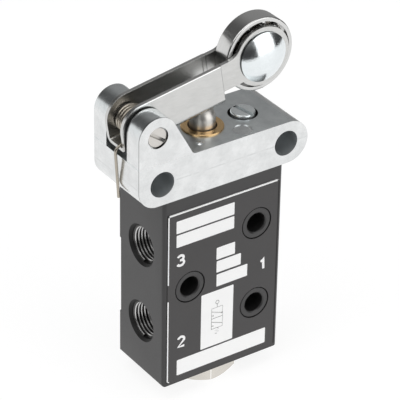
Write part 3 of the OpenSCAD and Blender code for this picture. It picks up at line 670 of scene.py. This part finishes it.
# Painted shade: a dark line along the crease.
crease_shade = fade(apart(along, crease_at), 0.05 * mm, 0.13 * mm, 1, 0)
# Painted highlight: the front wall's upper edge is near white.
rim_highlight = (
    fade(upward, rim_at, rim_at + 0.06 * mm) * fade(across, wall_face, wall_back, 1, 0)
    * fade(along, crease_at - 0.2 * mm, crease_at - 0.05 * mm, 1, 0))
plain = between(0.5 * rolled + 0.5 * cloud, (0.46, 0.46, 0.45, 1), (0.74, 0.74, 0.73, 1))
with_crease_shade = between(0.7 * crease_shade, plain, (0.12, 0.12, 0.12, 1))
connect(shader, {
    "Base Color": between(rim_highlight, with_crease_shade, (0.99, 0.99, 0.985, 1)),
    "Metallic": 1.0,
    "Roughness": 0.2 + 0.1 * rolled,
    "Normal": relief(rolled, 0.2, 0.002 * mm)})
softened("lever", "lever", lever_plate, edge=0.1 * mm)

# Roller: a ball bearing between two washers, held by its inner ring in the lever's fork.
# Its rings and balls are ground and polished, and its cage is pressed from duller sheet.
chrome = metal("chrome", (0.58, 0.58, 0.575), (0.7, 0.7, 0.69), 0.23, 0.2 * mm, stretch=(1, 6, 1), depth=0.001 * mm)
cage_metal = metal("cage_metal", (0.3, 0.28, 0.25), (0.5, 0.47, 0.42), 0.35, 0.3 * mm)
softened("bearing_outer_ring", "roller", chrome)
softened("bearing_inner_ring", "lever", chrome)
softened("bearing_cage", "ball_cage", cage_metal)
softened("bearing_balls", "ball_cage", chrome)
softened("washer_front", "lever", bright_steel)
softened("washer_back", "lever", bright_steel)

# Roller axle: a turned axle with a low domed head, chromed and polished but slightly uneven.
# It passes through the arms, washers and inner ring, and a cap is riveted on its back end.
dome_chrome = metal("dome_chrome", (0.66, 0.7, 0.715), (0.91, 0.95, 0.965), 0.15, 0.4 * mm, depth=0.06 * mm)
axle_x, axle_z = 14.4346 * mm, 21.692 * mm
dome_ball_r, dome_foot, dome_top, dome_steps = 9.9155, 13.85, 16.15, 20
axle_steps = [
    (3, 6.05), (3, 7.2), (4.96, 7.2), (4.96, 12.2), (3, 12.2), (3, 13.35), (5.7, 13.35), (5.7, 13.6), (6.35, 13.6),
    (6.35, dome_foot)]
for step in range(1, dome_steps):
    rise = dome_foot + (dome_top - dome_foot) * math.sin(math.pi / 2 * step / dome_steps)
    axle_steps.append((math.sqrt(dome_ball_r ** 2 - (rise - dome_top + dome_ball_r) ** 2), rise))
bpy.ops.object.select_all(action="DESELECT")
bpy.ops.mesh.primitive_circle_add(vertices=round_steps, radius=axle_steps[0][0] * mm, fill_type="NGON",
                                  location=(0, 0, axle_steps[0][1] * mm))
axle = bpy.context.object
axle.name = "roller_axle_polished"
bpy.ops.object.transform_apply(location=True, rotation=True, scale=True)
bpy.ops.object.mode_set(mode="EDIT")
bpy.ops.mesh.select_all(action="SELECT")
for (r0, h0), (r1, h1) in zip(axle_steps, axle_steps[1:]):
    bpy.ops.mesh.extrude_region_move(TRANSFORM_OT_translate={"value": (0, 0, (h1 - h0) * mm)})
    bpy.ops.transform.resize(value=(r1 / r0, r1 / r0, 1), center_override=(0, 0, h1 * mm))
bpy.ops.mesh.select_all(action="SELECT")
bpy.ops.mesh.normals_make_consistent(inside=False)
bpy.ops.object.mode_set(mode="OBJECT")
axle.rotation_euler = (math.pi / 2, 0, 0)
axle.location = (axle_x, 0, axle_z)
bpy.ops.object.transform_apply(location=True, rotation=True, scale=True)
bpy.ops.object.shade_smooth_by_angle(angle=math.radians(35))
axle.data.materials.append(dome_chrome)
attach(axle, "lever")
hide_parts("roller_axle")
softened("axle_cap", "lever", dome_chrome)

# Studio: a white table that glows like lit paper, drawn out to the right and the front.
# Round it are a dim room with a low white backdrop behind, and three soft boxes.
floor_z = cad_box[0][2]
table_r, right_leaf, front_leaf = 0.26, Vector((0.4, 0, 0)), Vector((0.4, -0.83, 0))
bpy.ops.object.select_all(action="DESELECT")
bpy.ops.mesh.primitive_circle_add(
    vertices=round_steps, radius=table_r, fill_type="NGON", location=(0, middle_y, floor_z))
table = bpy.context.object
table.name = "table"
bpy.ops.object.transform_apply(location=True, rotation=True, scale=True)
for corner in table.data.vertices:
    if corner.co.x > 0.15 and corner.co.y < 0.15:
        corner.co += right_leaf
    if corner.co.x > -0.1 and corner.co.y < -0.1:
        corner.co += front_leaf
table_white, shader, place = new_finish("table_white")
connect(shader, {
    "Base Color": between(grain(place, 3 * mm), (0.19, 0.19, 0.19, 1), (0.21, 0.21, 0.21, 1)),
    "Roughness": 0.7, "Emission Color": (1, 1, 1, 1), "Emission Strength": 0.86})
table.data.materials.append(table_white)

scene = bpy.context.scene
room = bpy.data.worlds.new("room")
scene.world = room
room.use_nodes = True
way = Tone(room.node_tree.nodes.new("ShaderNodeTexCoord").outputs["Generated"])
seen = Tone(room.node_tree.nodes.new("ShaderNodeLightPath").outputs["Is Camera Ray"])
aside, across, up = xyz(way)
behind = fade(across, 0.2, 0.55)
low_left = fade(up, 0.2, 0.36, 1, 0) * fade(aside, -0.05, 0.35, 1, 0)
upper_glow = fade(aside, -0.3, 0.4, 0.09, 0.3)
backdrop_glow = upper_glow + low_left * (1 - upper_glow)
room_glow = fade(up, 0.1, 0.6, 0.05, 0.2)
glow = room_glow + behind * (backdrop_glow - room_glow)
connect(room.node_tree.nodes["Background"], {"Color": (1, 1, 1, 1), "Strength": seen + (1 - seen) * glow})


def soft_box(name, toward, distance, wide, high, glow):
    """A soft box at that distance in that direction, which faces the valve."""
    lamp = bpy.data.lights.new(name, "AREA")
    lamp.shape = "RECTANGLE"
    lamp.size, lamp.size_y = wide, high
    lamp.energy = glow * math.pi * wide * high
    box = bpy.data.objects.new(name, lamp)
    bpy.context.collection.objects.link(box)
    direction = Vector(toward).normalized()
    box.location = direction * distance
    box.rotation_euler = direction.to_track_quat("Z", "Y").to_euler()


soft_box("front_box", (0.4, -0.85, 0.32), 1.1, 1.15, 1.1, 1.6)
soft_box("left_box", (-0.8, -0.15, 0.85), 1.2, 0.9, 0.9, 1.6)
soft_box("top_box", (-0.1, -0.15, 1), 1.2, 1.0, 1.0, 1.4)

# Camera: the photograph's view, from the left and above, through a long lens.
# Its three axes and its place were fitted to the valve's own edges.
lens = bpy.data.cameras.new("camera")
lens.sensor_width = 36
lens.lens = 224.18
lens.shift_x, lens.shift_y = 0.00114, 0.02778
camera = bpy.data.objects.new("camera", lens)
bpy.context.collection.objects.link(camera)
camera_right = Vector((0.82582, -0.56372, 0.01542))
camera_up = Vector((0.28516, 0.44102, 0.85099))
camera_back = Vector((-0.48652, -0.69837, 0.52496))
camera_place = Matrix((camera_right, camera_up, camera_back)).transposed().to_4x4()
camera_place.translation = Vector((-293.1, -429.95, 297.88)) * mm
camera.matrix_world = camera_place
scene.camera = camera
scene.view_settings.view_transform = "Standard"
